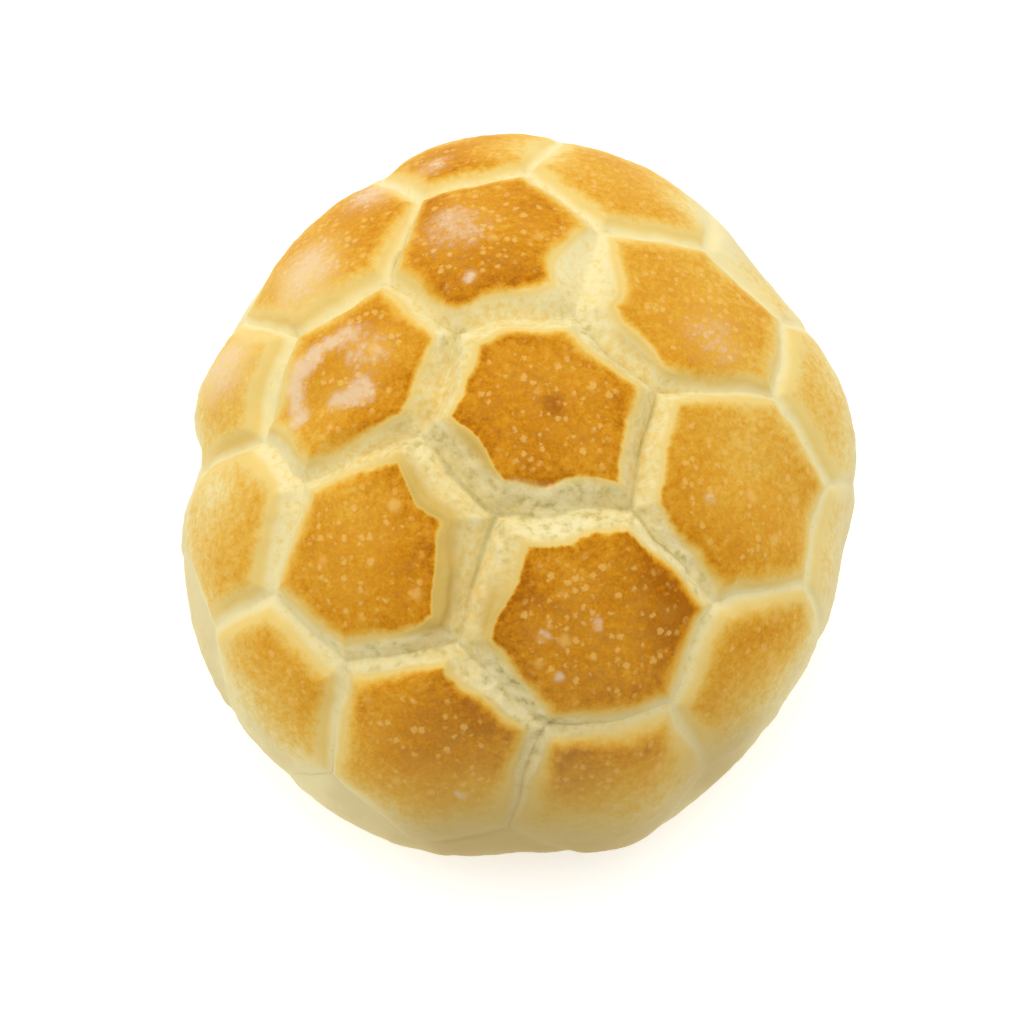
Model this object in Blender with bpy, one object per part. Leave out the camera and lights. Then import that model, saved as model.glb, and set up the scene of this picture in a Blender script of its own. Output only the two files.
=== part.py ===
"""Turtle bread roll: an oval domed bun whose crust is stamped with a honeycomb of nineteen cells.

The stamped crust is modelled flat, as if it were peeled off, and then wrapped onto the dome.
On the flat sheet X is east, Y is north, both in millimetres along the crust from the top of the
dome, and Z is the height above the smooth dome. On the finished roll +X is east, +Y is north,
+Z is up, and the origin is in the middle of the base.
"""
import math

import bmesh
import bpy
import numpy as np
from mathutils import Vector

MM = 0.001

# Dome, in millimetres. Its top stands a little off the middle of the uneven outline, which is the
# origin. A lobe is how often it comes round: (its size, its direction in degrees).
DOME_EAST = -0.48
DOME_NORTH = -1.05
MEAN_RADIUS = 55.0
LOBES = {2: (3.2, 84.0), 3: (0.6, -20.0), 4: (0.7, 3.0)}
# A swelling is its direction in degrees, how far it pushes the outline out, and its spread.
SWELLINGS = (
    (13.0, 0.9, 12.0),
    (40.0, -0.9, 12.0),
    (114.0, -0.9, 6.0),
    (178.0, -2.4, 8.0),
    (225.0, 0.8, 25.0),
    (270.0, -1.3, 9.0),
    (288.0, 1.4, 7.0),
    (347.0, -1.3, 9.0),
)
HEIGHT = 54.0
WIDEST_HEIGHT = 15.0
FOOT_REACH = 0.8
PROFILE_STEPS = 400

# Stamp: the honeycomb's spacing, turn and middle on the peeled crust.
CELL_SPACING = 29.5
STRETCH_EAST = 1.05
STAMP_TURN = math.radians(13.0)
STAMP_MIDDLE = Vector((4.5, -2.5))
STEPS = ((1, 0), (0, 1), (-1, 1), (-1, 0), (0, -1), (1, -1))
CROWN = (0, 0)

# How far each cell slid east and north, and how far it rose, while the dough was proving.
CELLS = {
    (0, 0): (-1.0, 2.5, 0.0),
    (1, 0): (-0.5, 0.5, 0.0),
    (0, 1): (-3.5, -0.5, 0.0),
    (-1, 1): (0.0, -0.5, 0.0),
    (-1, 0): (-2.5, 3.0, 0.0),
    (0, -1): (1.0, -0.5, 0.0),
    (1, -1): (3.0, -2.0, 0.0),
    (2, 0): (2.0, 1.5, -0.3),
    (1, 1): (-2.0, -0.5, 0.0),
    (0, 2): (2.5, 1.0, 0.3),
    (-1, 2): (1.0, 1.5, 0.0),
    (-2, 2): (-2.5, -4.5, 1.0),
    (-2, 1): (-7.0, -3.5, -0.6),
    (-2, 0): (0.5, -1.0, 0.0),
    (-1, -1): (-5.5, 2.5, 0.3),
    (0, -2): (-2.5, 1.0, 0.3),
    (1, -2): (4.0, -3.5, 0.0),
    (2, -2): (7.0, 1.5, 0.3),
    (2, -1): (6.0, 4.0, 0.0),
}

# The same slides for places outside the stamp, which only pull its outer corners.
OUTSIDE = {
    (-1, -2): (1.0, -9.0),
    (-2, -1): (-0.5, -1.5),
    (-3, 1): (5.0, 2.5),
    (1, -3): (-4.0, -2.0),
    (2, -3): (3.0, 5.0),
    (3, -2): (-2.5, 4.5),
    (3, -1): (-12.0, 9.0),
    (2, 1): (-3.0, 1.5),
    (-1, 3): (3.5, 2.5),
    (-2, 3): (-9.5, -1.5),
    (-3, 2): (-0.5, 8.5),
}

# How far each corner of the crown cell moved as well, east and north, from its east corner round.
CROWN_CORNERS = ((-0.5, 1.0), (1.0, 0.0), (0.5, 1.0), (-0.5, 0.0), (-1.5, 1.0), (0.0, -1.0))

# Grooves. A tear is (east, north, how much half-width it adds, how far it reaches).
RIM_HALF_WIDTH = 1.4
TEARS = ((-5.0, -12.0, 3.9, 30.0), (11.0, 20.0, 2.5, 8.0))
RIM_DEPTH = 0.9
CROWN_DEPTH = 3.8
DEPTH_MIDDLE = Vector((-5.0, -8.0))
DEPTH_REACH = 45.0
SHARP_REACH = 35.0
RIM_PILLOW = 1.1

# Seams that run on from the stamp's outer corners down the side.
SEAM_DEPTH = 1.0
SEAM_HALF_WIDTH = 3.0
SEAM_END = 92.0

# Columns along each side of a cell, and rows: 0 is a crack line, 1 the shoulder of its wall, and
# 2 the middle of the plateau or, on the skirt below the stamp, the foot.
SIDE_STEPS = 5
CELL_ROWS = (0.0, 0.35, 0.7, 1.0, 1.33, 1.67)
SKIRT_ROWS = (0.4, 1.0, 1.14, 1.28, 1.42, 1.56, 1.7, 1.85, 2.0)


def profile_table():
    """Arc length, reach and height down the mean profile, from the top of the dome to its foot."""
    arcs, reaches, heights = [0.0], [0.0], [HEIGHT]
    for step in range(1, PROFILE_STEPS + 1):
        turn = math.pi * step / PROFILE_STEPS
        if turn <= math.pi / 2:
            reach = math.sin(turn)
            height = WIDEST_HEIGHT + (HEIGHT - WIDEST_HEIGHT) * math.cos(turn)
        else:
            reach = FOOT_REACH + (1 - FOOT_REACH) * math.sin(turn)
            height = WIDEST_HEIGHT * (1 + math.cos(turn))
        run = math.hypot((reach - reaches[-1]) * MEAN_RADIUS, height - heights[-1])
        arcs.append(arcs[-1] + run)
        reaches.append(reach)
        heights.append(height)
    return arcs, reaches, heights


ARCS, REACHES, HEIGHTS = profile_table()
WIDEST_ARC = ARCS[PROFILE_STEPS // 2]


def plan_radius(bearing):
    """Distance from the middle to the widest outline."""
    lobes = sum(size * math.cos(count * (bearing - math.radians(direction)))
                for count, (size, direction) in LOBES.items())
    swellings = 0.0
    for direction, size, spread in SWELLINGS:
        turn = math.remainder(math.degrees(bearing) - direction, 360.0)
        swellings += size * math.exp(-(turn / spread) ** 2)
    return MEAN_RADIUS + lobes + swellings


def wrap(spot):
    """Where a point of the flat sheet lies on the roll, in metres."""
    distance = math.hypot(spot.x, spot.y)
    bearing = math.atan2(spot.y, spot.x)
    radius = plan_radius(bearing)
    reach = np.interp(distance, ARCS, REACHES)
    height = np.interp(distance, ARCS, HEIGHTS)
    if height > WIDEST_HEIGHT:
        normal = Vector((reach / radius, (height - WIDEST_HEIGHT) / (HEIGHT - WIDEST_HEIGHT) ** 2))
    else:
        out = (reach - FOOT_REACH) / ((1 - FOOT_REACH) ** 2 * radius)
        normal = Vector((out, (height - WIDEST_HEIGHT) / WIDEST_HEIGHT ** 2))
    normal.normalize()
    across = reach * radius + normal.x * spot.z
    east = DOME_EAST + across * math.cos(bearing)
    north = DOME_NORTH + across * math.sin(bearing)
    return MM * Vector((east, north, height + normal.y * spot.z))


def neighbour(place, side):
    """The honeycomb place across one of a cell's six sides."""
    step = STEPS[side % 6]
    return (place[0] + step[0], place[1] + step[1])


def cell_middle(place):
    """Middle of a cell on the flat sheet, with its slide where the cell is one of the nineteen."""
    east = place[0] * CELL_SPACING * math.cos(math.pi / 6)
    north = place[0] * CELL_SPACING / 2 + place[1] * CELL_SPACING
    turned = Vector((east * math.cos(STAMP_TURN) - north * math.sin(STAMP_TURN),
                     east * math.sin(STAMP_TURN) + north * math.cos(STAMP_TURN)))
    slide = Vector(CELLS[place][:2] if place in CELLS else OUTSIDE.get(place, (0.0, 0.0)))
    return Vector((turned.x * STRETCH_EAST, turned.y)) + STAMP_MIDDLE + slide


def cell_corner(place, corner):
    """Corner of a cell: the mean of the three cells that meet there, the crown's moved a little."""
    trio = [place, neighbour(place, corner), neighbour(place, corner - 1)]
    spot = sum((cell_middle(member) for member in trio), Vector((0.0, 0.0))) / 3
    for crown_corner, move in enumerate(CROWN_CORNERS):
        meeting = {CROWN, neighbour(CROWN, crown_corner), neighbour(CROWN, crown_corner - 1)}
        if meeting == set(trio):
            spot += Vector(move)
    return spot


def half_width(crack):
    """Half the width of the groove at a place on its crack line."""
    extra = sum(size * math.exp(-((crack - Vector((east, north))).length / reach) ** 2)
                for east, north, size, reach in TEARS)
    return RIM_HALF_WIDTH + extra


def groove_depth(crack):
    """Depth of the groove at a place on its crack line."""
    fade = math.exp(-((crack - DEPTH_MIDDLE).length / DEPTH_REACH) ** 2)
    return RIM_DEPTH + (CROWN_DEPTH - RIM_DEPTH) * fade


def sharpness(crack):
    """1 where the stamp cut crisp edges, at the top of the dome, falling to 0 where they are soft."""
    return math.exp(-(crack.length / SHARP_REACH) ** 2)


def pillow(crack):
    """How far a plateau's edge lies below its middle: more where the edges are soft."""
    return RIM_PILLOW * (1 - sharpness(crack))


def wall_lift(crack, share):
    """Height at a share of the half-width from the crack: the wall is straight where the edge is
    crisp and rounded where it is soft."""
    rounded = math.sqrt(1 - (1 - share) ** 2)
    climbed = rounded + sharpness(crack) * (share - rounded)
    return -groove_depth(crack) * (1 - climbed) - pillow(crack)


def cell_point(crack, middle, inradius, rise, row):
    """A point between a crack line and its cell's middle. Rows 0 to 1 climb the wall, and rows
    1 to 2 cross the slightly pillowed plateau."""
    shoulder = half_width(crack) / inradius
    if row < 1:
        toward, lift = row * shoulder, wall_lift(crack, row) + rise * row
    else:
        toward = shoulder + (1 - shoulder) * (row - 1)
        lift = rise - pillow(crack) * (2 - row) ** 2
    spot = crack.lerp(middle, toward)
    return Vector((spot.x, spot.y, lift))


def add_band(sheet, upper, lower):
    """Ring of four-sided faces between two closed rows of points."""
    for i in range(len(upper)):
        j = (i + 1) % len(upper)
        sheet.faces.new((upper[i], upper[j], lower[j], lower[i]))


def add_cell(sheet, place):
    """Rings of faces from a cell's crack lines up its walls and over its plateau."""
    middle = cell_middle(place)
    rise = CELLS[place][2]
    corners = [cell_corner(place, corner) for corner in range(6)]
    cracks = [corners[side].lerp(corners[(side + 1) % 6], step / SIDE_STEPS)
              for side in range(6) for step in range(SIDE_STEPS)]
    inradius = sum((crack - middle).length for crack in cracks) / len(cracks)
    rings = [[sheet.verts.new(cell_point(crack, middle, inradius, rise, row)) for crack in cracks]
             for row in CELL_ROWS]
    for outer, inner in zip(rings, rings[1:]):
        add_band(sheet, outer, inner)
    top = sheet.verts.new((middle.x, middle.y, rise))
    for i in range(len(cracks)):
        sheet.faces.new((rings[-1][i - 1], rings[-1][i], top))


def seam_bearings():
    """Bearings of the outer corners from which a line of the stamp runs on down the side."""
    bearings = []
    for place in CELLS:
        for corner in range(6):
            others = (neighbour(place, corner), neighbour(place, corner - 1))
            if not any(other in CELLS for other in others):
                spot = cell_corner(place, corner)
                bearings.append(math.atan2(spot.y, spot.x))
    return bearings


def seam_lift(distance, bearing, seams):
    """Depth of the nearest seam at a place on the side, fading out before the foot."""
    turn = min(abs(math.remainder(bearing - seam, math.tau)) for seam in seams)
    beside = max(0.0, 1 - turn * MEAN_RADIUS / SEAM_HALF_WIDTH)
    fade = min(1.0, max(0.0, (SEAM_END - distance) / (SEAM_END - WIDEST_ARC)))
    return -SEAM_DEPTH * beside * fade


def skirt_point(crack, row, seams):
    """A point of the side below the stamp's outer line. Rows 0 to 1 climb out of that line's
    groove, and rows 1 to 2 run down to the foot."""
    bearing = math.atan2(crack.y, crack.x)
    shoulder = crack.length + half_width(crack)
    if row < 1:
        distance = crack.length + row * half_width(crack)
        lift = wall_lift(crack, row)
    else:
        distance = shoulder + (row - 1) * (ARCS[-1] - shoulder)
        lift = -pillow(crack) * (2 - row) ** 2
    lift += seam_lift(distance, bearing, seams)
    return Vector((distance * math.cos(bearing), distance * math.sin(bearing), lift))


def add_skirt(sheet):
    """Rows of faces from the stamp's outer line down the side, and the flat base."""
    seams = seam_bearings()
    border = {vert for edge in sheet.edges if edge.is_boundary for vert in edge.verts}
    upper = sorted(border, key=lambda vert: math.atan2(vert.co.y, vert.co.x))
    cracks = [vert.co.xy for vert in upper]
    for row in SKIRT_ROWS:
        lower = [sheet.verts.new(skirt_point(crack, row, seams)) for crack in cracks]
        add_band(sheet, upper, lower)
        upper = lower
    sheet.faces.new(upper)


def crust_material():
    """Matt golden-brown crust."""
    material = bpy.data.materials.new("crust")
    material.use_nodes = True
    shader = material.node_tree.nodes["Principled BSDF"]
    shader.inputs["Base Color"].default_value = (0.72, 0.42, 0.12, 1.0)
    shader.inputs["Roughness"].default_value = 0.6
    shader.inputs["Metallic"].default_value = 0.0
    return material


def make_roll():
    """The whole roll as one closed solid."""
    sheet = bmesh.new()
    for place in CELLS:
        add_cell(sheet, place)
    bmesh.ops.remove_doubles(sheet, verts=sheet.verts[:], dist=0.01)
    add_skirt(sheet)
    for vert in sheet.verts:
        vert.co = wrap(vert.co)
    bmesh.ops.recalc_face_normals(sheet, faces=sheet.faces[:])
    mesh = bpy.data.meshes.new("roll")
    sheet.to_mesh(mesh)
    sheet.free()
    mesh.materials.append(crust_material())
    mesh.shade_smooth()
    mesh.set_sharp_from_angle(angle=math.radians(50))
    roll = bpy.data.objects.new("roll", mesh)
    bpy.context.scene.collection.objects.link(roll)


def main():
    for old in list(bpy.data.objects):
        bpy.data.objects.remove(old, do_unlink=True)
    make_roll()


main()
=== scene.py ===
"""Turtle bread roll, dressed: the stamped and torn crust at full detail, its bake, flour and crumb, with
painted sheen and painted shade in its colour.

The crust is modelled flat, as if it were peeled off, and then wrapped onto the dome. On the flat
sheet east and north are millimetres along the crust from the top of the dome, and lift is the
height above the smooth dome.
"""
import math

import bpy
import numpy as np
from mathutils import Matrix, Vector, noise


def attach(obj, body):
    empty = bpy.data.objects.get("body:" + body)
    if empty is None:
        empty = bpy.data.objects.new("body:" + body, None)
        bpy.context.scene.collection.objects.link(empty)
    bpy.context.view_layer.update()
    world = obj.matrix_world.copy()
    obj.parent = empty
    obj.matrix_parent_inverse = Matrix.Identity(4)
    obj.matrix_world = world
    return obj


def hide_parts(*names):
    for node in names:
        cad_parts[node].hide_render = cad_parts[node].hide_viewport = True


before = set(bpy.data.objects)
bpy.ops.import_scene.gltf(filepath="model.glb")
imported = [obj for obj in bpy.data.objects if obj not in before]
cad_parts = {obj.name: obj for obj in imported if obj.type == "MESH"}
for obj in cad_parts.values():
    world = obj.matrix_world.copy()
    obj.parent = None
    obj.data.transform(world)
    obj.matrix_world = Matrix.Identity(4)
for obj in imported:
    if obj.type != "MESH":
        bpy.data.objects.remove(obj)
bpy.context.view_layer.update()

MM = 0.001

# Dome, in millimetres: its top beside the middle of the outline, its lobes and its swellings.
DOME_EAST = -0.48
DOME_NORTH = -1.05
MEAN_RADIUS = 55.0
LOBES = {2: (3.2, 84.0), 3: (0.6, -20.0), 4: (0.7, 3.0)}
SWELLINGS = (
    (13.0, 0.9, 12.0),
    (40.0, -0.9, 12.0),
    (114.0, -0.9, 6.0),
    (178.0, -2.4, 8.0),
    (225.0, 0.8, 25.0),
    (270.0, -1.3, 9.0),
    (288.0, 1.4, 7.0),
    (347.0, -1.3, 9.0),
)
HEIGHT = 54.0
WIDEST_HEIGHT = 15.0
FOOT_REACH = 0.8
PROFILE_STEPS = 400

# Stamp: the honeycomb's spacing, its stretch, turn and middle on the peeled crust, the steps from a
# cell to its six neighbours, and the place of the crown's cell.
CELL_SPACING = 29.5
STRETCH_EAST = 1.05
STAMP_TURN = math.radians(13.0)
STAMP_MIDDLE = np.array((4.5, -2.5))
STEPS = ((1, 0), (0, 1), (-1, 1), (-1, 0), (0, -1), (1, -1))
CROWN = (0, 0)

# Each cell's slide east and north, its rise, and how brown it baked, from 0 to 1.
CELLS = {
    (0, 0): (-1.0, 2.5, 0.0, 0.80),
    (1, 0): (-0.5, 0.5, 0.0, 0.64),
    (0, 1): (-3.5, -0.5, 0.0, 0.78),
    (-1, 1): (0.0, -0.5, 0.0, 0.76),
    (-1, 0): (-2.5, 3.0, 0.0, 0.76),
    (0, -1): (1.0, -0.5, 0.0, 0.86),
    (1, -1): (3.0, -2.0, 0.0, 0.63),
    (2, 0): (2.0, 1.5, -0.3, 0.2),
    (1, 1): (-2.0, -0.5, 0.0, 0.62),
    (0, 2): (2.5, 1.0, 0.3, 0.84),
    (-1, 2): (1.0, 1.5, 0.0, 0.72),
    (-2, 2): (-2.5, -4.5, 1.0, 0.44),
    (-2, 1): (-7.0, -3.5, -0.6, 0.58),
    (-2, 0): (0.5, -1.0, 0.0, 0.64),
    (-1, -1): (-5.5, 2.5, 0.3, 0.82),
    (0, -2): (-2.5, 1.0, 0.3, 0.9),
    (1, -2): (4.0, -3.5, 0.0, 0.7),
    (2, -2): (7.0, 1.5, 0.3, 0.42),
    (2, -1): (6.0, 4.0, 0.0, 0.4),
}

# The same slides for places outside the stamp, which only pull its outer corners.
OUTSIDE = {
    (-1, -2): (1.0, -9.0),
    (-2, -1): (-0.5, -1.5),
    (-3, 1): (5.0, 2.5),
    (1, -3): (-4.0, -2.0),
    (2, -3): (3.0, 5.0),
    (3, -2): (-2.5, 4.5),
    (3, -1): (-12.0, 9.0),
    (2, 1): (-3.0, 1.5),
    (-1, 3): (3.5, 2.5),
    (-2, 3): (-9.5, -1.5),
    (-3, 2): (-0.5, 8.5),
}

# How far each corner of the crown's cell is moved, east and north.
CROWN_CORNERS = ((-0.5, 1.0), (1.0, 0.0), (0.5, 1.0), (-0.5, 0.0), (-1.5, 1.0), (0.0, -1.0))

# Grooves. A tear is (east, north, how much half-width it adds, how far it reaches). The grooves are
# deepest round DEPTH_MIDDLE, and the stamp cut sharpest round the top of the dome.
RIM_HALF_WIDTH = 1.4
TEARS = ((-5.0, -12.0, 3.9, 30.0), (11.0, 20.0, 2.5, 8.0), (-10.0, -29.0, -1.2, 6.0))
RIM_DEPTH = 0.55
CROWN_DEPTH = 3.4
DEPTH_MIDDLE = (-5.0, -8.0)
DEPTH_REACH = 45.0
SHARP_REACH = 35.0

# A soft valley is wider than a sharp one by this share of its width, and the slope from the stamp's
# outer line down onto the side is this many times as wide as the one above it.
SOFT_WIDENING = 1.0
SKIRT_WIDENING = 2.2

# How far the rim's cells sink towards their edges, and how steeply.
RIM_PILLOW = 1.15
PILLOW_POWER = 2.5

# The rim's cells are puffiest round this place, with the deepest valleys. Elsewhere they have a
# share of that, and less again at the stamp's outer line, between two distances from the top.
PUFFY_MIDDLE = (-45.0, 15.0)
PUFFY_REACH = 55.0
PLAIN_SHARE = 0.32
OUTER_SHARE = 0.55
OUTER_FADE = (50.0, 62.0)

# Where the browning's edge is crisp: the middle of that region, how far out it is crisp and from
# how far on it is soft. Another place, (east, north, reach), is less soft than the rest, by a share.
CRISP_MIDDLE = (0.0, -15.0)
CRISP_REACH = 14.0
SOFT_REACH = 48.0
CRISP_PLACE = (-5.0, 38.0, 18.0)
CRISP_SHARE = 0.6

# Narrow cracks along the bottom of the grooves: (east, north, strength, reach). They take this share
# of the wall, and their depth varies by noise: its mean, its size and its wavelength.
CRACK_DEPTH = 0.7
CRACK_SHARE = 0.24
CRACK_MEAN = 0.8
CRACK_NOISE = 0.5
CRACK_WAVE = 5.0
# The material also paints shade along the bottoms of these cracks.
CRACKS = (
    (-8.0, -12.0, 1.0, 7.0),
    (-4.0, -22.0, 1.0, 8.0),
    (19.5, -4.0, 1.0, 7.0),
    (21.0, -20.0, 0.8, 9.0),
    (2.0, -51.0, 0.5, 9.0),
    (-36.0, -54.0, 0.45, 8.0),
    (-9.0, -64.0, 0.45, 8.0),
    (14.0, 8.0, 0.6, 7.0),
    (-17.5, 28.0, 0.8, 6.0),
    (-12.5, 12.0, 0.5, 5.0),
    (16.0, -44.0, 0.15, 9.0),
    (-16.0, -34.0, 0.5, 9.0),
)

# Places where the dough tore into lumps of crumb: (east, north, strength, reach). All the grooves
# have a share of that roughness. The lumps are noises, each (wavelength, size).
CRUMB_LIFT = 0.8
ROUGH_SHARE = 0.2
LUMPS = ((2.0, 0.6), (1.3, 0.5))
TORN = (
    (6.0, -17.5, 1.0, 10.0),
    (24.0, -23.0, 1.0, 8.0),
    (0.0, -41.0, 1.0, 8.0),
    (-17.0, -35.0, 0.7, 9.0),
    (9.0, 12.5, 0.9, 4.0),
    (-9.5, 10.5, 0.8, 4.0),
    (-13.5, -6.0, 0.8, 4.0),
    (-6.0, -10.0, 0.5, 6.0),
    (3.0, -51.0, 0.7, 8.0),
)

# Seams that run on from the stamp's outer corners down the side.
SEAM_DEPTH = 0.35
SEAM_HALF_WIDTH = 3.0
SEAM_END = 92.0

# Columns along each side of a cell, and rows: 0 is a crack line, 1 the shoulder of its wall, and
# 2 the middle of the plateau or, on the skirt below the stamp, the foot.
SIDE_STEPS = 26
WALL_ROWS = (0.0, 0.06, 0.13, 0.22, 0.33, 0.45, 0.57, 0.69, 0.8, 0.9, 0.96)
PLATEAU_ROWS = (1.0, 1.05, 1.11, 1.18, 1.26, 1.34, 1.42, 1.5, 1.58, 1.66, 1.74, 1.82, 1.9, 1.96)
SKIRT_WALL_ROWS = (0.12, 0.26, 0.42, 0.6, 0.8)
SKIRT_SIDE_STEPS = 18
BASE_ROWS = (0.985, 0.94, 0.8, 0.55, 0.25)

# Points nearer to each other than about this, in millimetres, are made one.
WELD_REACH = 0.01

# The rows between which pimples begin, above a wall, and torn crumb ends, on it.
PIMPLE_ROWS = (0.9, 1.15)
CRUMB_ROWS = (0.55, 1.0)

# The underside: how high it is hollowed, its noise's wavelength, and how steeply it meets the foot.
BASE_HOLLOW = 0.25
BASE_WAVE = 9.0
BASE_POWER = 8

# Unevenness of the crust in millimetres: (wavelength, size). Warps move points along the crust, and
# the others lift them. Warps fade out near the foot, between two distances before it.
WARPS = ((9.0, 0.8), (4.5, 0.5), (2.2, 0.2))
SWELLS = ((24.0, 0.5), (8.0, 0.22))
PIMPLES = ((2.6, 0.14), (1.5, 0.08))
WARP_FADE = (2.0, 12.0)

# Each noise has a layer of its own, this far from the next one.
LAYER_STEP = 7.3
SWELL_LAYER = 1
PIMPLE_LAYER = 4
CRACK_LAYER = 9
LUMP_LAYER = 11
EAST_LAYER = 21
NORTH_LAYER = 31
BASE_LAYER = 41

# Small hollows: (east, north, radius, depth).
DIMPLES = ((5.5, -1.0, 1.8, 0.4), (-36.0, -13.0, 0.8, 0.3))

# Tan ledges, where the brown starts further in from the shoulder: (east, north, how much further,
# reach). A little ridge runs along each ledge's outer edge, this high and this share of a wall wide.
RIDGE_LIFT = 0.22
RIDGE_SPREAD = 0.08
LEDGES = (
    (-12.5, -13.5, 1.3, 7.0),
    (-8.5, -27.0, 2.9, 5.5),
    (18.5, 9.0, 0.5, 6.0),
    (13.5, 18.5, 0.3, 4.0),
    (-6.0, -9.0, 1.0, 5.0),
)

# Other places where the brown starts further in, or out where it is less than 0.
EDGE_SHIFTS = (
    (-6.0, 9.0, 1.8, 5.0),
    (-8.0, 17.0, -1.8, 5.0),
    (1.0, -12.5, -1.5, 6.0),
    (-1.0, -26.0, 1.0, 7.0),
    (-26.0, -6.0, -1.2, 5.0),
    (30.0, 7.5, -1.0, 5.0),
    (18.5, 9.0, 0.9, 6.0),
    (13.5, 18.5, 1.0, 4.0),
    (-37.5, 5.0, 1.8, 7.0),
)

# Flour left on the crust, and painted sheen on the cells facing the light: (east, north, amount, radius).
FLOUR_AND_SHEEN = (
    (-26.5, 13.5, 0.7, 1.6),
    (-29.5, 12.0, 0.9, 1.7),
    (-32.5, 10.5, 1.0, 1.8),
    (-35.0, 8.5, 1.0, 1.8),
    (-36.5, 5.5, 1.0, 1.7),
    (-37.0, 2.5, 1.0, 1.7),
    (-36.0, -0.5, 0.9, 1.7),
    (-29.5, 1.5, 0.7, 1.8),
    (-26.5, 2.0, 0.8, 1.8),
    (-23.5, 2.5, 0.7, 1.8),
    (-23.5, 9.5, 0.45, 5.0),
    (-24.0, 45.0, 0.7, 5.0),
    (-35.0, 29.5, 0.68, 7.0),
    (-52.0, 15.0, 0.66, 7.0),
    (-13.0, 47.0, 0.6, 3.0),
    (-9.0, 29.0, 0.52, 5.0),
    (-6.5, 18.5, 0.9, 1.2),
    (11.5, -30.5, 0.85, 0.9),
    (4.0, -33.0, 0.8, 1.0),
    (6.0, -38.5, 0.8, 0.9),
    (-8.0, -56.5, 0.9, 0.9),
    (30.0, -14.0, 0.5, 1.2),
    (31.0, 13.0, 0.35, 6.0),
)

# How the bake fades towards the rim, in millimetres along the crust.
BAKE_FULL = 50.0
BAKE_GONE = 70.0

# Places that baked browner, or paler where the amount is less than 0: (east, north, amount, reach).
BAKE_SPOTS = (
    (23.0, 14.0, 0.1, 8.0),
    (29.0, -24.0, 0.14, 9.0),
    (-13.0, -22.0, 0.07, 8.0),
    (-31.0, -14.0, -0.1, 9.0),
    (-24.0, -44.0, -0.12, 8.0),
    (-8.0, -46.0, 0.03, 8.0),
    (10.0, -19.0, -0.12, 7.0),
    (24.0, -34.0, 0.06, 8.0),
    (30.0, 26.0, -0.08, 8.0),
    (-35.0, 0.0, -0.12, 8.0),
    (39.0, 0.0, -0.08, 9.0),
    (-13.0, 32.0, 0.06, 8.0),
    (-1.0, 20.0, 0.08, 9.0),
    (-30.0, -40.0, 0.06, 7.0),
    (5.5, -1.0, 0.4, 1.5),
    (-36.0, -13.0, 0.3, 0.8),
    (-37.0, 26.0, -0.35, 9.0),
    (-52.0, -9.0, -0.45, 7.0),
    (34.0, 45.0, -0.55, 9.0),
    (2.0, 50.0, -0.6, 7.0),
    (-8.0, 40.0, -0.12, 5.0),
    (45.0, 14.0, -0.12, 8.0),
    (44.0, -10.0, -0.1, 10.0),
    (18.0, -60.0, -0.2, 8.0),
    (38.0, -50.0, -0.15, 7.0),
)

# Where the south side, away from the light, is painted darker, partly a toasted tint and partly painted
# shade: (east, north, amount, reach).
TOAST_AND_SHADE = (
    (8.0, -72.0, 1.0, 24.0),
    (-14.0, -66.0, 0.5, 12.0),
    (39.0, -56.0, 0.7, 11.0),
)

# What is stored at the mesh's points for the material: how far in from the browning's edge a point
# lies, in millimetres, how much it is a ledge, how far up the wall it is, how brown it baked, how
# soft the browning's edge is there, how cracked and torn it is, how much flour and painted sheen it
# has, and how much toasted tint and painted shade darken it.
POINT_VALUES = ("edge", "ledge", "climb", "bake", "soft", "crack", "torn", "flour_and_sheen", "toast_and_shade")
BASE_VALUES = {"climb": 1.0, "soft": 1.0}

# Noises of the material: (wavelength in millimetres, detail, roughness).
NOISES = {
    "grain": (0.45, 2.0, 0.6),
    "fine": (1.1, 3.0, 0.6),
    "medium": (3.2, 3.0, 0.55),
    "broad": (11.0, 2.0, 0.5),
    "lumps": (1.5, 2.0, 0.55),
}

# Sums of point values and noises: the weight of each, and what is added.
WAVERING_EDGE = ({"edge": 1.0, "fine": 0.6, "medium": 0.8}, -0.7)
BROWN_STARTS = ({"soft": -1.6}, -0.4)
BROWN_FULL = ({"soft": 3.6}, 0.5)
UNEVEN_BAKE = ({"bake": 1.0, "medium": 0.25, "broad": 0.35, "fine": 0.55, "grain": 0.3}, -0.71)
WALL_YELLOW = ({"fine": 0.8, "soft": -0.2}, -0.24)
HAZE_CLOUDS = ({"fine": 0.5, "medium": 0.5}, 0.0)
# Flour and painted sheen, in clouds round their places.
DUSTING_AND_SHEEN = ({"flour_and_sheen": 1.0, "fine": 1.4, "medium": 0.6}, 0.0)

# Ranges: a number between the first two becomes one between the last two, or between 0 and 1. In
# order they are for the bake, the ledges, the haze and specks, the worn side, the crumb and the
# painted shade in the cracks, the flour and painted sheen, and the bump.
EDGE_DARKER = (0.0, 3.0, 0.04, 0.0)
SHOULDER_YELLOW = (-1.8, -0.4, 0.0, 0.24)
SOME_BAKE = (0.0, 0.4)
LEDGE_CLIMB = (0.3, 0.9, 0.0, 0.85)
BESIDE_BROWN = (0.3, -0.4)
INWARD = (0.3, 4.0)
HAZE_INWARD = (2.0, 8.0, 0.1, 0.28)
HAZE_CLEARING = (0.42, 0.6)
MARKS_FAINT = (0.1, 0.6, 0.15, 1.0)
MARKS_BURNT = (1.2, 0.95)
NO_BAKE = (0.2, 0.0)
WORN_PATCHES = (0.35, 0.65, 0.15, 0.6)
CRUMB_CLIMB = (0.95, 0.6)
CRACK_SHADE_CLIMB = (0.12, 0.02)
DUST_AND_SHEEN_COVER = (1.0, 1.9, 0.0, 0.68)
NEAR_FLOUR_AND_SHEEN = (0.02, 0.35)
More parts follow.
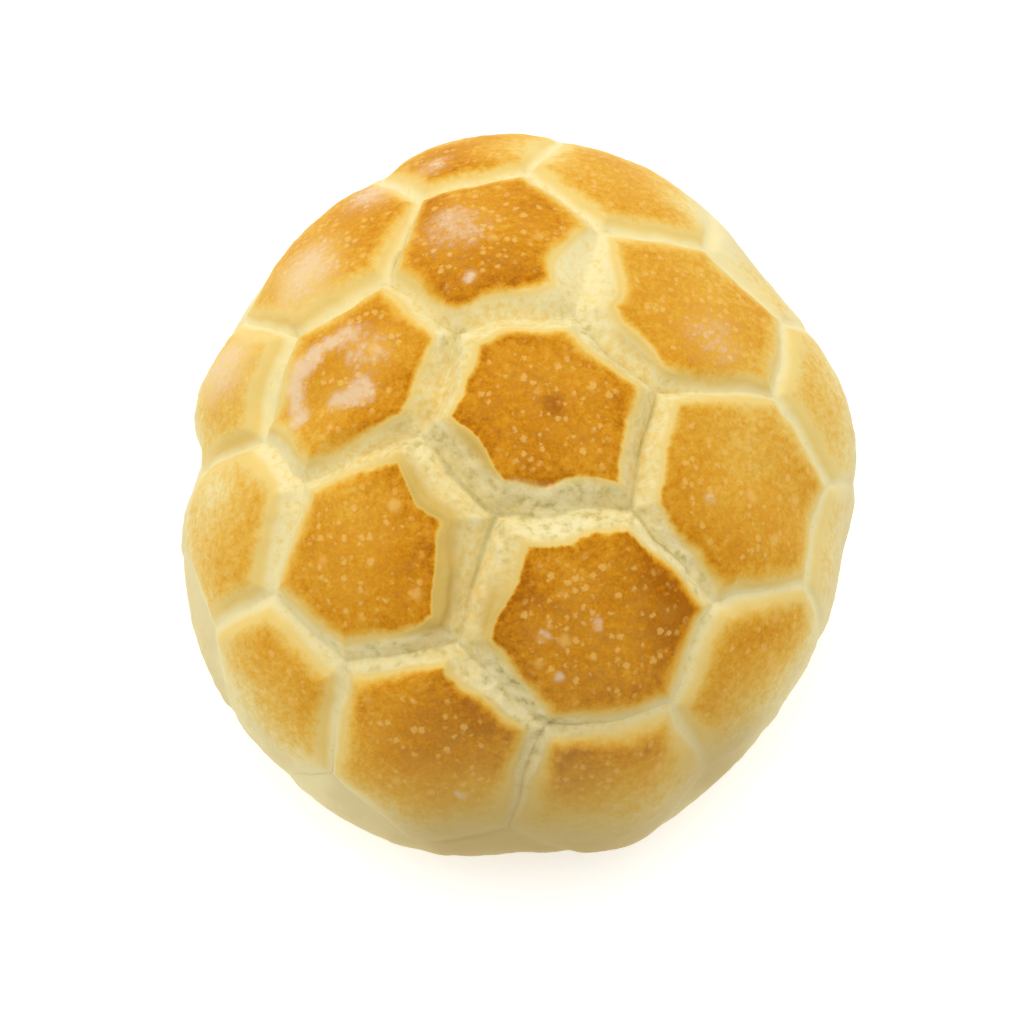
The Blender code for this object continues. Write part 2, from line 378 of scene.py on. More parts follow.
ROUGH_CLIMB = (0.95, 0.7, 0.0, 4.0)

# Dots on the brown: (spacing in millimetres, radius, share of the places that have one). Noise makes
# them uneven: its wavelength and size.
BLISTERS = (3.4, 1.5, 0.4)
GRAINS = (1.2, 0.75, 0.85)
DOT_EDGE = 0.32
DOT_UNEVEN = (0.7, 0.7)

# Colours, from 0 to 255 as a picture shows them, and how much of each is laid on. A ramp's stops are
# (position, colour).
BROWNING = (
    (0.0, (240, 226, 170)),
    (0.2, (236, 208, 128)),
    (0.4, (232, 188, 86)),
    (0.6, (224, 165, 50)),
    (0.8, (208, 136, 15)),
    (1.0, (170, 98, 1)),
)
# The torn crumb's colour by the height of its lumps: partly the crumb's own mottle, partly painted shade
# darkening the low pits.
CRUMB_AND_PIT_SHADE = (
    (0.3, (190, 178, 116)),
    (0.45, (232, 219, 162)),
    (0.6, (244, 232, 182)),
)
LEDGE_COLOUR = (208, 172, 84)
HAZE_COLOUR = (230, 168, 62)
SPECK_COLOUR = (240, 190, 100)
WORN_COLOUR = (224, 206, 152)
# Painted shade along the bottoms of the cracks.
CRACK_SHADE_COLOUR = (178, 168, 108)
# Colour of the flour and of the painted sheen.
FLOUR_AND_SHEEN_COLOUR = (240, 216, 180)
# Darker colour on the south side: partly a toasted tint, partly painted shade.
TOAST_AND_SHADE_COLOUR = (180, 150, 82)
SPECK_SHARE = 0.6
CRUMB_SHARE = 0.85
# How much of the painted crack shade is laid on.
CRACK_SHADE_SHARE = 0.5
# How much of the south side's toasted tint and painted shade is laid on.
TOAST_AND_SHADE_SHARE = 0.75

# Finish of the crust: its roughness and gloss, and its bump: how high in millimetres, how strong,
# and how much of it is the fine noise.
ROUGHNESS = 0.6
GLOSS = 0.06
BUMP_HEIGHT = 0.12
BUMP_STRENGTH = 0.6
FINE_BUMP = 0.8

# Floor: half its width and how far it lies under the roll, in metres, and its shade, roughness and
# glow.
FLOOR_REACH = 4.0
FLOOR_GAP = 0.0002
FLOOR_SHADE = 0.85
FLOOR_ROUGHNESS = 0.9
FLOOR_GLOW = 0.42

# Light: where the window is, and how bright the surroundings are facing away from it and towards
# it, between two cosines. The key light has a bearing, an elevation, a distance and a width in
# metres, and a power in watts.
WINDOW_DIRECTION = (-0.1, 0.6, 0.79)
WINDOW_COSINES = (-0.5, 0.9)
FRONT_BRIGHTNESS = 0.24
BACK_BRIGHTNESS = 0.92
KEY_BEARING = 110.0
KEY_ELEVATION = 71.0
KEY_DISTANCE = 1.5
KEY_WIDTH = 1.8
KEY_POWER = 10.0

# Camera: what it looks at and how far away it is, in millimetres, the nearest that it sees, in
# metres, and its lens, from the picture's width and how many pixels a slope of 1 from the middle of
# the view takes.
CAMERA_TARGET = (-0.98, -8.05, 25.0)
CAMERA_DISTANCE = 350.0
CAMERA_ELEVATION = 70.0
NEAREST_SEEN = 0.01
PICTURE_WIDTH = 1024
PIXELS_PER_TANGENT = 2310
SENSOR_WIDTH = 36.0


def profile_table():
    """Arc length, reach and height down the mean profile, from the top of the dome to its foot."""
    turn = np.linspace(0.0, math.pi, PROFILE_STEPS + 1)
    upper = turn <= math.pi / 2
    reach = np.where(upper, np.sin(turn), FOOT_REACH + (1 - FOOT_REACH) * np.sin(turn))
    height = np.where(upper, WIDEST_HEIGHT + (HEIGHT - WIDEST_HEIGHT) * np.cos(turn),
                      WIDEST_HEIGHT * (1 + np.cos(turn)))
    runs = np.hypot(np.diff(reach) * MEAN_RADIUS, np.diff(height))
    return np.concatenate(([0.0], np.cumsum(runs))), reach, height


ARCS, REACHES, HEIGHTS = profile_table()
WIDEST_ARC = ARCS[PROFILE_STEPS // 2]


def plan_radius(bearing):
    """Distance from the middle to the widest outline."""
    radius = np.full_like(bearing, MEAN_RADIUS)
    for count, (size, direction) in LOBES.items():
        radius += size * np.cos(count * (bearing - math.radians(direction)))
    for direction, size, spread in SWELLINGS:
        turn = (np.degrees(bearing) - direction + 180.0) % 360.0 - 180.0
        radius += size * np.exp(-(turn / spread) ** 2)
    return radius


def wrap(spots, lifts):
    """Where points of the flat sheet lie on the roll, in metres."""
    distance = np.hypot(spots[:, 0], spots[:, 1])
    bearing = np.arctan2(spots[:, 1], spots[:, 0])
    radius = plan_radius(bearing)
    reach = np.interp(distance, ARCS, REACHES)
    height = np.interp(distance, ARCS, HEIGHTS)
    above = height > WIDEST_HEIGHT
    rise = np.where(above, HEIGHT - WIDEST_HEIGHT, WIDEST_HEIGHT)
    inner = np.where(above, 0.0, FOOT_REACH)
    out = (reach - inner) / ((1 - inner) ** 2 * radius)
    up = (height - WIDEST_HEIGHT) / rise ** 2
    length = np.hypot(out, up)
    across = reach * radius + out / length * lifts
    return MM * np.stack((DOME_EAST + across * np.cos(bearing), DOME_NORTH + across * np.sin(bearing),
                          height + up / length * lifts), axis=1)


def neighbour(place, side):
    """The honeycomb place across one of a cell's six sides."""
    step = STEPS[side % 6]
    return (place[0] + step[0], place[1] + step[1])


def cell_middle(place):
    """Middle of a cell on the flat sheet, with its slide."""
    east = place[0] * CELL_SPACING * math.cos(math.pi / 6)
    north = place[0] * CELL_SPACING / 2 + place[1] * CELL_SPACING
    turned = np.array((east * math.cos(STAMP_TURN) - north * math.sin(STAMP_TURN),
                       east * math.sin(STAMP_TURN) + north * math.cos(STAMP_TURN)))
    slide = CELLS[place][:2] if place in CELLS else OUTSIDE.get(place, (0.0, 0.0))
    return turned * (STRETCH_EAST, 1.0) + STAMP_MIDDLE + slide


def cell_corner(place, corner):
    """Corner of a cell: the mean of the three cells that meet there, the crown's moved a little."""
    trio = [place, neighbour(place, corner), neighbour(place, corner - 1)]
    spot = sum(cell_middle(member) for member in trio) / 3
    for crown_corner, move in enumerate(CROWN_CORNERS):
        meeting = {CROWN, neighbour(CROWN, crown_corner), neighbour(CROWN, crown_corner - 1)}
        if meeting == set(trio):
            spot = spot + move
    return spot


def cell_side(place, side):
    """Points along one side of a cell, without its last corner."""
    start, end = cell_corner(place, side), cell_corner(place, (side + 1) % 6)
    shares = np.arange(SIDE_STEPS)[:, None] / SIDE_STEPS
    return start + (end - start) * shares


def bell(spots, east, north, reach):
    """1 at a place, falling smoothly to 0 around it."""
    return np.exp(-(np.hypot(spots[:, 0] - east, spots[:, 1] - north) / reach) ** 2)


def bells(spots, places):
    """Sum of bells, each (east, north, size, reach)."""
    return sum(size * bell(spots, east, north, reach) for east, north, size, reach in places)


def strength(spots, places):
    """Sum of bells, at most 1."""
    return np.minimum(bells(spots, places), 1.0)


def step_between(low, high, values):
    """0 up to the first number, 1 from the second one on, and smooth between. Either may be the
    larger."""
    share = np.clip((values - low) / (high - low), 0.0, 1.0)
    return share * share * (3 - 2 * share)


def half_width(cracks):
    """Half the width of the groove at places on its crack line."""
    return RIM_HALF_WIDTH + bells(cracks, TEARS)


def groove_depth(cracks):
    """Depth of the groove at places on its crack line."""
    crown = bell(cracks, *DEPTH_MIDDLE, DEPTH_REACH)
    return outer_fade(cracks) * (CROWN_DEPTH * crown + RIM_DEPTH * puffiness(cracks) * (1 - crown))


def outer_fade(cracks):
    """1 inside the stamp, falling to a smaller share along its outer line."""
    distance = np.hypot(cracks[:, 0], cracks[:, 1])
    return 1 - (1 - OUTER_SHARE) * step_between(*OUTER_FADE, distance)


def puffiness(cracks):
    """1 where the rim's cells are puffiest, and less elsewhere."""
    return PLAIN_SHARE + (1 - PLAIN_SHARE) * bell(cracks, *PUFFY_MIDDLE, PUFFY_REACH)


def pillow_drop(cracks):
    """How far the cells' edges sink below their middles."""
    return RIM_PILLOW * (1 - sharpness(cracks)) * puffiness(cracks) * outer_fade(cracks)


def sharpness(cracks):
    """1 where the stamp cut crisp edges, at the top of the dome, falling to 0 where they are soft."""
    return bell(cracks, 0.0, 0.0, SHARP_REACH)


def softness(cracks):
    """0 where the browning's edge is crisp, rising to 1 where it is soft."""
    away = np.hypot(cracks[:, 0] - CRISP_MIDDLE[0], cracks[:, 1] - CRISP_MIDDLE[1])
    crisper = CRISP_SHARE * bell(cracks, *CRISP_PLACE)
    return step_between(CRISP_REACH, SOFT_REACH, away) * (1 - crisper)


def ripple(spots, wavelength, layer):
    """Smooth noise from -1 to 1 over the sheet. Each layer is a noise of its own."""
    scaled = spots / wavelength
    return np.array([noise.noise((east, north, LAYER_STEP * layer)) for east, north in scaled])


def ripples(spots, waves, layer):
    """Sum of noises, each (wavelength, size)."""
    return sum(size * ripple(spots, wavelength, layer + index)
               for index, (wavelength, size) in enumerate(waves))


class Sheet:
    """The flat crust: its points row by row, what each point is, and its faces."""

    def __init__(self):
        names = ("spots", "lift", "share", "inset", "level", "soft")
        self.parts = {name: [] for name in names}
        self.faces = []
        self.count = 0

    def add_rows(self, **columns):
        """Adds a grid of points, rows by columns, and returns their numbers."""
        rows, width = columns["lift"].shape
        numbers = self.count + np.arange(rows * width).reshape(rows, width)
        self.count += rows * width
        for name, values in columns.items():
            self.parts[name].append(values.reshape(rows * width, *values.shape[2:]))
        return numbers

    def add_bands(self, numbers):
        """Rings of four-sided faces between closed rows of points."""
        upper, lower = numbers[:-1], numbers[1:]
        quads = np.stack((upper, np.roll(upper, -1, 1), np.roll(lower, -1, 1), lower), axis=2)
        self.faces.extend(quads.reshape(-1, 4).tolist())

    def add_fan(self, row, tip):
        """Triangles from a closed row of points to one point."""
        self.faces.extend([int(a), int(b), int(tip)] for a, b in zip(row, np.roll(row, -1)))


def valley(cracks, away):
    """Depth at distances from the crack line: a steep, rounded wall where the edge is crisp, and
    a wider, smooth valley where it is soft."""
    sharp = sharpness(cracks)
    share = np.clip(away / (half_width(cracks) * (1 + SOFT_WIDENING * (1 - sharp))), 0.0, 1.0)
    smooth = step_between(0.0, 1.0, share)
    crisp = np.sin(share * math.pi / 2)
    return -groove_depth(cracks) * (1 - smooth - sharp * (crisp - smooth))


def add_cell(sheet, place):
    """A cell from its crack lines up its walls and over its plateau."""
    middle = cell_middle(place)
    rise, level = CELLS[place][2:]
    cracks = np.concatenate([cell_side(place, side) for side in range(6)])
    width, pillow = half_width(cracks), pillow_drop(cracks)
    spans = np.hypot(*(cracks - middle).T)
    shoulder = width / spans.mean()
    walls = np.array(WALL_ROWS)[:, None]
    tops = np.array(PLATEAU_ROWS)[:, None]
    toward = np.concatenate((walls * shoulder, shoulder + (1 - shoulder) * (tops - 1)))
    lift = rise * (1 - (1 - toward) ** 2) - pillow * (1 - toward) ** PILLOW_POWER
    lift += valley(cracks, toward * spans)
    share = np.broadcast_to(np.concatenate((walls, tops)), toward.shape)
    spots = cracks + (middle - cracks) * toward[:, :, None]
    inset = (toward - shoulder) * spans
    soft = softness(cracks)
    numbers = sheet.add_rows(spots=spots, lift=lift, share=share, inset=inset,
                             level=np.full_like(lift, level),
                             soft=np.broadcast_to(soft, lift.shape))
    sheet.add_bands(numbers)
    tip = sheet.add_rows(spots=middle[None, None, :], lift=np.full((1, 1), rise),
                         share=np.full((1, 1), 2.0), inset=inset[-1:, :1],
                         level=np.full((1, 1), level), soft=np.full((1, 1), soft.mean()))
    sheet.add_fan(numbers[-1], tip[0, 0])


def seam_bearings():
    """Bearings of the outer corners from which a line of the stamp runs on down the side."""
    bearings = []
    for place in CELLS:
        for corner in range(6):
            others = (neighbour(place, corner), neighbour(place, corner - 1))
            if not any(other in CELLS for other in others):
                spot = cell_corner(place, corner)
                bearings.append(math.atan2(spot[1], spot[0]))
    return bearings


def seam_lift(distance, bearing):
    """Depth of the nearest seam at places on the side, fading out before the foot."""
    turns = np.stack([np.abs((bearing - seam + math.pi) % math.tau - math.pi)
                      for seam in seam_bearings()])
    beside = np.maximum(0.0, 1 - turns.min(axis=0) * MEAN_RADIUS / SEAM_HALF_WIDTH)
    fade = np.clip((SEAM_END - distance) / (SEAM_END - WIDEST_ARC), 0.0, 1.0)
    return -SEAM_DEPTH * step_between(0.0, 1.0, beside) * fade


def border_cracks():
    """Crack line round the whole stamp, clockwise, so that the faces below it look outward."""
    sides = [cell_side(place, side) for place in CELLS for side in range(6)
             if neighbour(place, side) not in CELLS]
    cracks = np.concatenate(sides)
    return cracks[np.argsort(-np.arctan2(cracks[:, 1], cracks[:, 0]))]


def add_skirt(sheet):
    """The side below the stamp's outer line. Returns the numbers of the foot's row."""
    cracks = border_cracks()
    start = np.hypot(cracks[:, 0], cracks[:, 1])
    bearing = np.arctan2(cracks[:, 1], cracks[:, 0])
    width, pillow = SKIRT_WIDENING * half_width(cracks), pillow_drop(cracks)
    walls = np.array((0.0,) + SKIRT_WALL_ROWS)[:, None]
    sides = np.linspace(1.0, 2.0, SKIRT_SIDE_STEPS)[:, None]
    foot = ARCS[-1]
    distance = np.concatenate((start + walls * width,
                               start + width + (sides - 1) * (foot - start - width)))
    share = np.broadcast_to(np.concatenate((walls, sides)), distance.shape)
    lift = valley(cracks, (distance - start) / SKIRT_WIDENING)
    lift -= pillow * ((foot - distance) / (foot - start)) ** 2
    lift += seam_lift(distance, bearing[None, :]) * np.minimum(share, 1.0)
    around = np.stack((np.cos(bearing), np.sin(bearing)), axis=1)
    spots = distance[:, :, None] * around
    none = np.zeros_like(lift)
    numbers = sheet.add_rows(spots=spots, lift=lift, share=share, inset=distance - start - width,
                             level=none, soft=none + 1)
    sheet.add_bands(numbers)
    return numbers[-1]


def add_relief(spots, lift, share, ledge):
    """The crust's unevenness: swells, pimples and dimples, ridges, cracks and torn crumb."""
    distance = np.hypot(spots[:, 0], spots[:, 1])
    upper = step_between(ARCS[-1], WIDEST_ARC, distance)
    pimples = step_between(*PIMPLE_ROWS, share) * ripples(spots, PIMPLES, PIMPLE_LAYER)
    lift = lift + upper * (ripples(spots, SWELLS, SWELL_LAYER) + pimples)
    for east, north, radius, depth in DIMPLES:
        lift -= depth * bell(spots, east, north, radius)
    lift += RIDGE_LIFT * ledge * np.exp(-((share - 1.0) / RIDGE_SPREAD) ** 2)
    crack_depth = CRACK_DEPTH * (CRACK_MEAN + CRACK_NOISE * ripple(spots, CRACK_WAVE, CRACK_LAYER))
    lift -= crack_depth * strength(spots, CRACKS) * np.clip(1 - share / CRACK_SHARE, 0.0, 1.0)
    in_groove = 1 - step_between(*CRUMB_ROWS, share)
    lumps = ripples(spots, LUMPS, LUMP_LAYER)
    lift += CRUMB_LIFT * (ROUGH_SHARE + strength(spots, TORN)) * in_groove * lumps
    return lift


def warp(spots):
    """The sheet's points moved a little along it, so that no line is straight."""
    shift = np.stack((ripples(spots, WARPS, EAST_LAYER), ripples(spots, WARPS, NORTH_LAYER)), axis=1)
    distance = np.hypot(spots[:, 0], spots[:, 1])
    free = step_between(ARCS[-1] - WARP_FADE[0], ARCS[-1] - WARP_FADE[1], distance)
    return spots + shift * free[:, None]


def add_base(sheet, places, foot_row):
    """The underside, from the foot's row inward. Returns the points with its own added."""
    foot = places[foot_row]
    foot[:, 2] = 0.0
    places[foot_row] = foot
    centre = foot.mean(axis=0)
    rows = [foot_row]
    for reach in BASE_ROWS:
        ring = centre + (foot - centre) * reach
        hollow = 1 + ripple(ring[:, :2] / MM, BASE_WAVE, BASE_LAYER)
        ring[:, 2] = MM * BASE_HOLLOW * hollow * (1 - reach ** BASE_POWER)
        rows.append(len(places) + np.arange(len(ring)))
        places = np.concatenate((places, ring))
    sheet.add_bands(np.stack(rows))
    sheet.add_fan(rows[-1], len(places))
    return np.concatenate((places, [centre + (0.0, 0.0, MM * BASE_HOLLOW)]))


def point_values(parts, ledge, extra):
    """What the baking shows at each point of the sheet, and at the extra points of the base."""
    spots, level = parts["spots"], parts["level"]
    distance = np.hypot(spots[:, 0], spots[:, 1])
    fade = (1 - step_between(BAKE_FULL, BAKE_GONE, distance)) * (level > 0)
    columns = (
        parts["inset"] - ledge - bells(spots, EDGE_SHIFTS),
        np.minimum(ledge, 1.0),
        np.clip(parts["share"], 0.0, 1.0),
        (level + bells(spots, BAKE_SPOTS)) * fade,
        parts["soft"],
        strength(spots, CRACKS),
        strength(spots, TORN),
        strength(spots, FLOUR_AND_SHEEN),
        strength(spots, TOAST_AND_SHADE),
    )
    return {name: np.append(column, np.full(extra, BASE_VALUES.get(name, 0.0)))
            for name, column in zip(POINT_VALUES, columns)}


def crust_mesh():
    """The whole crust as one closed mesh, with what the baking shows stored at each point."""
    sheet = Sheet()
    for place in CELLS:
        add_cell(sheet, place)
    foot_row = add_skirt(sheet)
    parts = {name: np.concatenate(values) for name, values in sheet.parts.items()}
    ledge = bells(parts["spots"], LEDGES)
    warped = warp(parts["spots"])
    lift = add_relief(warped, parts["lift"], parts["share"], ledge)
    places = add_base(sheet, wrap(warped, lift), foot_row)
    values = point_values(parts, ledge, len(places) - len(warped))
    return weld(places, sheet.faces, values)


def weld(places, faces, values):
    """Mesh with the doubled points along the crack lines made one."""
    keys = np.round(places / (WELD_REACH * MM)).astype(np.int64)
    first, joined = np.unique(keys, axis=0, return_index=True, return_inverse=True)[1:]
    joined = joined.ravel()
    mesh = bpy.data.meshes.new("roll_crust")
    polygons = [[int(joined[corner]) for corner in face] for face in faces]
    mesh.from_pydata(places[first].tolist(), [], polygons)
    for name, numbers in values.items():
        layer = mesh.attributes.new(name, "FLOAT", "POINT")
        layer.data.foreach_set("value", numbers[first].astype(np.float32))
    mesh.validate()
    mesh.shade_smooth()
    return mesh


def add_node(tree, kind, inputs, **settings):
    """A shader node. Each input is a number, a colour or another node's socket."""
    node = tree.nodes.new(kind)
    for name, value in settings.items():
        setattr(node, name, value)
    for name, value in inputs.items():
        if isinstance(value, bpy.types.NodeSocket):
            tree.links.new(value, node.inputs[name])
        else:
            node.inputs[name].default_value = value
    return node


def calculate(tree, operation, *numbers):
    """Result of an operation on two or more numbers, from left to right."""
    result = numbers[0]
    for number in numbers[1:]:
        inputs = {0: result, 1: number}
        result = add_node(tree, "ShaderNodeMath", inputs, operation=operation).outputs[0]
    return result


def weighted(tree, values, weights, start):
    """A start plus some of the values, each times its weight."""
    result = start
    for name, weight in weights.items():
        inputs = {0: values[name], 1: weight, 2: result}
        result = add_node(tree, "ShaderNodeMath", inputs, operation="MULTIPLY_ADD").outputs[0]
    return result


def spread(tree, value, low, high, to_low=0.0, to_high=1.0):
    """A value between low and high, smoothly turned into one between two others."""
    inputs = {"Value": value, "From Min": low, "From Max": high, "To Min": to_low, "To Max": to_high}
    return add_node(tree, "ShaderNodeMapRange", inputs, interpolation_type="SMOOTHSTEP").outputs[0]


def linear(red, green, blue):
    """Colour for the shader from the 0 to 255 values that a picture shows, by the usual curve."""
    shown = (red / 255, green / 255, blue / 255)
    return tuple(c / 12.92 if c < 0.04045 else ((c + 0.055) / 1.055) ** 2.4 for c in shown) + (1.0,)


def blend(tree, share, under, colour):
    """A share of a colour laid over what is under it. The colour is one of a picture's, or a
    socket."""
    over = colour if isinstance(colour, bpy.types.NodeSocket) else linear(*colour)
    inputs = {0: share, 6: under, 7: over}
    return add_node(tree, "ShaderNodeMix", inputs, data_type="RGBA").outputs[2]


def ramp(tree, value, stops):
    """Colour from stops, each (position, colour)."""
    node = add_node(tree, "ShaderNodeValToRGB", {"Fac": value})
    elements = node.color_ramp.elements
    while len(elements) < len(stops):
        elements.new(1.0)
    for element, (position, colour) in zip(elements, stops):
        element.position = position
        element.color = linear(*colour)
    return node.outputs["Color"]


def speckle(tree, place, wavelength, detail, roughness):
    """Cloudy noise from 0 to 1 with a wavelength in millimetres."""
    inputs = {"Vector": place, "Scale": 1 / (wavelength * MM), "Detail": detail, "Roughness": roughness}
    return add_node(tree, "ShaderNodeTexNoise", inputs).outputs["Fac"]


def dots(tree, place, spacing, radius, amount):
    """Small round dots, from 0 to 1, in some of the cells of an uneven grid."""
    inputs = {"Vector": place, "Scale": 1 / (spacing * MM)}
    cells = add_node(tree, "ShaderNodeTexVoronoi", inputs)
    chance = add_node(tree, "ShaderNodeSeparateColor", {0: cells.outputs["Color"]})
    size = spread(tree, chance.outputs[0], 1 - amount, 1.0, 0.0, radius / spacing)
    nearness = calculate(tree, "SUBTRACT", size, cells.outputs["Distance"])
    return spread(tree, nearness, 0.0, DOT_EDGE)


def uneven(tree, place, wavelength, size):
    """The place moved about by noise, so that what is drawn there loses its round shape."""
    inputs = {"Vector": place, "Scale": 1 / (wavelength * MM), "Detail": 1.0}
    shift = add_node(tree, "ShaderNodeTexNoise", inputs).outputs["Color"]
    inputs = {0: shift, 1: (size * MM, size * MM, size * MM), 2: place}
    return add_node(tree, "ShaderNodeVectorMath", inputs, operation="MULTIPLY_ADD").outputs[0]


def crust_values(tree, place):
    """Numbers that vary over the crust: the point values, the noises, and some made of these."""
    values = {}
    for name in POINT_VALUES:
        node = add_node(tree, "ShaderNodeAttribute", {}, attribute_name=name)
        values[name] = node.outputs["Fac"]
    for name, sizes in NOISES.items():
        values[name] = speckle(tree, place, *sizes)
    values["edge"] = weighted(tree, values, *WAVERING_EDGE)
    values["inward"] = spread(tree, values["edge"], *INWARD)
    values["marks"] = calculate(tree, "MULTIPLY", spread(tree, values["bake"], *MARKS_FAINT),
                                spread(tree, values["bake"], *MARKS_BURNT))
    return values


def browned(tree, values):
    """Colour of the bake: brown plateaus, a darker line along their edge, and yellowed walls."""
    edge, bake = values["edge"], values["bake"]
    starts = weighted(tree, values, *BROWN_STARTS)
    full = weighted(tree, values, *BROWN_FULL)
    baked = calculate(tree, "ADD", weighted(tree, values, *UNEVEN_BAKE), spread(tree, edge, *EDGE_DARKER))
    brown = calculate(tree, "MULTIPLY", baked, spread(tree, edge, starts, full))
    shoulder = calculate(tree, "MULTIPLY", spread(tree, edge, *SHOULDER_YELLOW), values["climb"])
    yellow = calculate(tree, "MAXIMUM", shoulder, weighted(tree, values, *WALL_YELLOW))
    yellow = calculate(tree, "MULTIPLY", yellow, spread(tree, bake, *SOME_BAKE))
    return ramp(tree, calculate(tree, "MAXIMUM", brown, yellow), BROWNING)


def with_ledges(tree, values, colour):
    """Adds the tan ledges between the walls and the brown."""
    share = calculate(tree, "MULTIPLY", values["ledge"], spread(tree, values["climb"], *LEDGE_CLIMB),
                      spread(tree, values["edge"], *BESIDE_BROWN))
    return blend(tree, share, colour, LEDGE_COLOUR)


def with_haze(tree, values, colour):
    """Adds paler clouds on the middle of the plateaus."""
    clouds = spread(tree, weighted(tree, values, *HAZE_CLOUDS), *HAZE_CLEARING)
    share = calculate(tree, "MULTIPLY", clouds, spread(tree, values["edge"], *HAZE_INWARD),
                      values["inward"], values["marks"])
    return blend(tree, share, colour, HAZE_COLOUR)


def make_specks(tree, place, values):
    """Blisters and finer grains on the brown, from 0 to 1."""
    moved = uneven(tree, place, *DOT_UNEVEN)
    specks = calculate(tree, "MAXIMUM", dots(tree, moved, *BLISTERS), dots(tree, moved, *GRAINS))
    return calculate(tree, "MULTIPLY", specks, values["marks"], values["inward"])


def with_crumb(tree, values, colour):
    """Adds the worn, pale side, the open crumb where the dough tore, painted shade in the crumb's pits,
    and painted shade in the cracks.
    """
    worn = calculate(tree, "MULTIPLY", spread(tree, values["bake"], *NO_BAKE),
                     spread(tree, values["broad"], *WORN_PATCHES))
    colour = blend(tree, worn, colour, WORN_COLOUR)
    torn = calculate(tree, "MULTIPLY", values["torn"], spread(tree, values["climb"], *CRUMB_CLIMB),
                     CRUMB_SHARE)
    # The crumb ramp follows the same noise as the bump, so its dark end is painted shade in the pits.
    colour = blend(tree, torn, colour, ramp(tree, values["lumps"], CRUMB_AND_PIT_SHADE))
    # Painted shade along the bottoms of the cracks.
    crack = calculate(tree, "MULTIPLY", spread(tree, values["climb"], *CRACK_SHADE_CLIMB), values["crack"],
                      CRACK_SHADE_SHARE)
    return blend(tree, crack, colour, CRACK_SHADE_COLOUR)


def with_flour_sheen_and_shade(tree, values, colour):
    """Adds the smears of flour with painted sheen, and paints the south side darker, partly a toasted
    tint and partly painted shade.
    """
    flour_and_sheen_share = calculate(tree, "MULTIPLY", spread(tree, weighted(tree, values, *DUSTING_AND_SHEEN), *DUST_AND_SHEEN_COVER),
                       spread(tree, values["flour_and_sheen"], *NEAR_FLOUR_AND_SHEEN))
    # Flour, with painted sheen where the crust faces the light.
    colour = blend(tree, flour_and_sheen_share, colour, FLOUR_AND_SHEEN_COLOUR)
    # The south side, away from the light, painted darker: partly a toasted tint, partly painted shade.
    return blend(tree, calculate(tree, "MULTIPLY", values["toast_and_shade"], TOAST_AND_SHADE_SHARE), colour, TOAST_AND_SHADE_COLOUR)


def fine_relief(tree, values, specks):
    """Bump from the fine noise, the specks and the rough crumb."""
    rough = calculate(tree, "MULTIPLY", values["torn"], spread(tree, values["climb"], *ROUGH_CLIMB),
                      values["lumps"])
    fine = calculate(tree, "MULTIPLY", values["fine"], FINE_BUMP)
    inputs = {"Height": calculate(tree, "ADD", fine, specks, rough), "Distance": BUMP_HEIGHT * MM,
              "Strength": BUMP_STRENGTH}
    return add_node(tree, "ShaderNodeBump", inputs).outputs["Normal"]


def crust_material():
    """Baked crust: brown plateaus with crisp or fading edges, pale torn walls, cracks and flour, with
    painted shade in the cracks, the crumb's pits and on the south side, and painted sheen.
    """
    material = bpy.data.materials.new("crust")
    material.use_nodes = True
    tree = material.node_tree
    shader = tree.nodes["Principled BSDF"]
    place = add_node(tree, "ShaderNodeTexCoord", {}).outputs["Object"]
    values = crust_values(tree, place)
    specks = make_specks(tree, place, values)
    colour = browned(tree, values)
    colour = with_ledges(tree, values, colour)
    colour = with_haze(tree, values, colour)
    colour = blend(tree, calculate(tree, "MULTIPLY", specks, SPECK_SHARE), colour, SPECK_COLOUR)
    colour = with_crumb(tree, values, colour)
    colour = with_flour_sheen_and_shade(tree, values, colour)
    tree.links.new(colour, shader.inputs["Base Color"])
    tree.links.new(fine_relief(tree, values, specks), shader.inputs["Normal"])
    shader.inputs["Roughness"].default_value = ROUGHNESS
    shader.inputs["Specular IOR Level"].default_value = GLOSS
    return material


def make_roll():
    """The dressed roll, in the place of the plain one."""
    mesh = crust_mesh()
    mesh.materials.append(crust_material())
    roll = bpy.data.objects.new("roll_crust", mesh)
    bpy.context.scene.collection.objects.link(roll)
    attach(roll, "root")
    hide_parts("roll")


def make_floor():
    """Plain near-white floor that also glows, lighting the roll from below and washing out the roll's
    shadow on it.
    """
    size = FLOOR_REACH
    mesh = bpy.data.meshes.new("floor")
    corners = [(-size, -size, 0), (size, -size, 0), (size, size, 0), (-size, size, 0)]
    mesh.from_pydata(corners, [], [(0, 1, 2, 3)])
    material = bpy.data.materials.new("floor")
    material.use_nodes = True
    shader = material.node_tree.nodes["Principled BSDF"]
    shader.inputs["Base Color"].default_value = (FLOOR_SHADE, FLOOR_SHADE, FLOOR_SHADE, 1.0)
    shader.inputs["Roughness"].default_value = FLOOR_ROUGHNESS
    shader.inputs["Specular IOR Level"].default_value = 0.0
    shader.inputs["Emission Color"].default_value = (1.0, 1.0, 1.0, 1.0)
    # The floor's glow is painted light: it lights the roll from below and fills in its shadow.
    shader.inputs["Emission Strength"].default_value = FLOOR_GLOW
    mesh.materials.append(material)
    floor = bpy.data.objects.new("floor", mesh)
    floor.location.z = -FLOOR_GAP
    bpy.context.scene.collection.objects.link(floor)


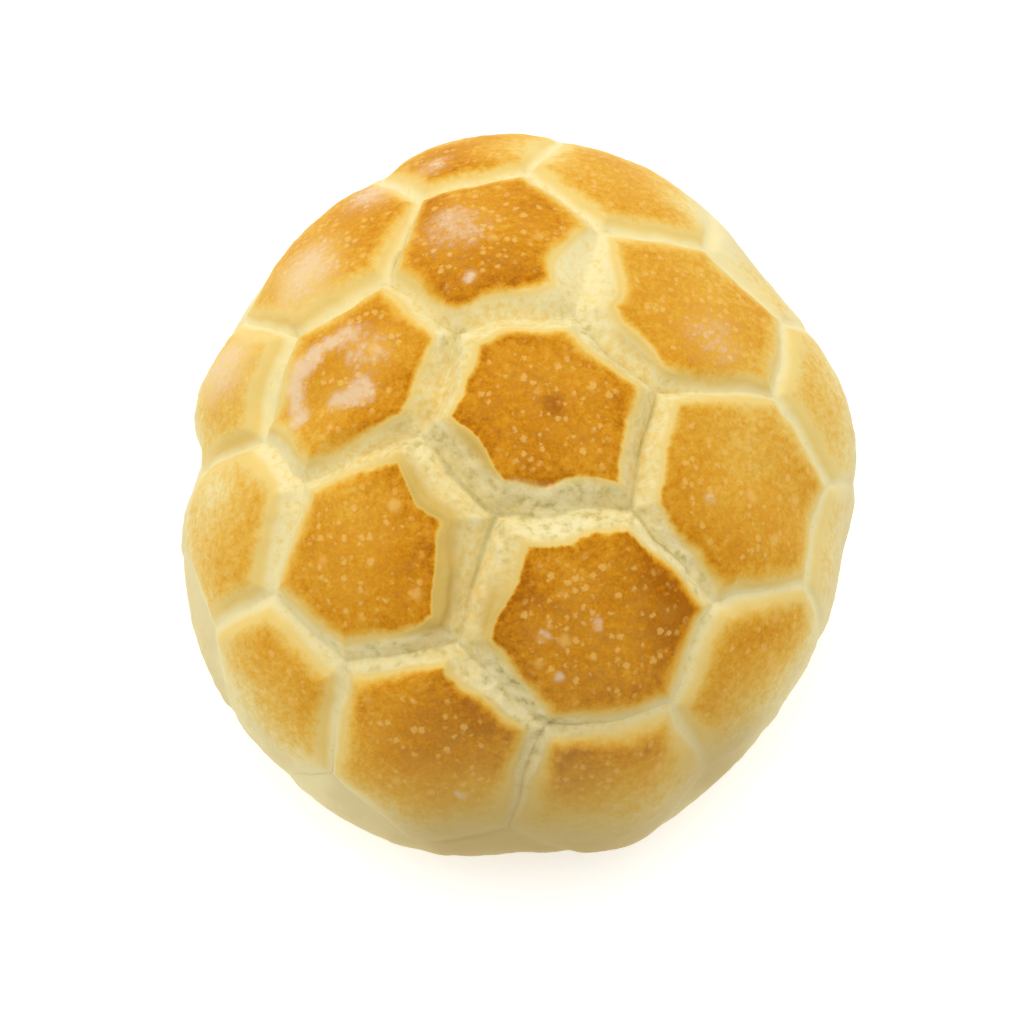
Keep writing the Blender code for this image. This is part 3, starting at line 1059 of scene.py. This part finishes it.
def make_key_light():
    """Broad soft light that shines at the roll from behind and the left."""
    lamp = bpy.data.lights.new("key", "AREA")
    lamp.shape = "SQUARE"
    lamp.size = KEY_WIDTH
    lamp.energy = KEY_POWER
    light = bpy.data.objects.new("key", lamp)
    bearing, height = math.radians(KEY_BEARING), math.radians(KEY_ELEVATION)
    away = Vector((math.cos(height) * math.cos(bearing), math.cos(height) * math.sin(bearing),
                   math.sin(height)))
    light.location = away * KEY_DISTANCE
    light.rotation_euler = away.to_track_quat("Z", "Y").to_euler()
    bpy.context.scene.collection.objects.link(light)


def make_surroundings():
    """White surroundings, brighter behind than in front."""
    scene = bpy.context.scene
    world = bpy.data.worlds.new("studio")
    world.use_nodes = True
    tree = world.node_tree
    outward = add_node(tree, "ShaderNodeTexCoord", {}).outputs["Generated"]
    facing = add_node(tree, "ShaderNodeVectorMath", {0: outward, 1: WINDOW_DIRECTION},
                      operation="DOT_PRODUCT").outputs["Value"]
    brightness = spread(tree, facing, *WINDOW_COSINES, FRONT_BRIGHTNESS, BACK_BRIGHTNESS)
    tree.links.new(brightness, tree.nodes["Background"].inputs["Strength"])
    tree.nodes["Background"].inputs["Color"].default_value = (1.0, 1.0, 1.0, 1.0)
    scene.world = world
    scene.view_settings.view_transform = "Standard"


def make_camera():
    """Camera at the photograph's angle."""
    camera = bpy.data.objects.new("camera", bpy.data.cameras.new("camera"))
    elevation = math.radians(CAMERA_ELEVATION)
    away = Vector((0.0, -math.cos(elevation), math.sin(elevation)))
    camera.location = MM * (Vector(CAMERA_TARGET) + away * CAMERA_DISTANCE)
    camera.rotation_euler = (math.radians(90.0 - CAMERA_ELEVATION), 0.0, 0.0)
    camera.data.sensor_width = SENSOR_WIDTH
    camera.data.lens = SENSOR_WIDTH * PIXELS_PER_TANGENT / PICTURE_WIDTH
    camera.data.clip_start = NEAREST_SEEN
    bpy.context.scene.collection.objects.link(camera)
    bpy.context.scene.camera = camera


make_roll()
make_floor()
make_surroundings()
make_key_light()
make_camera()
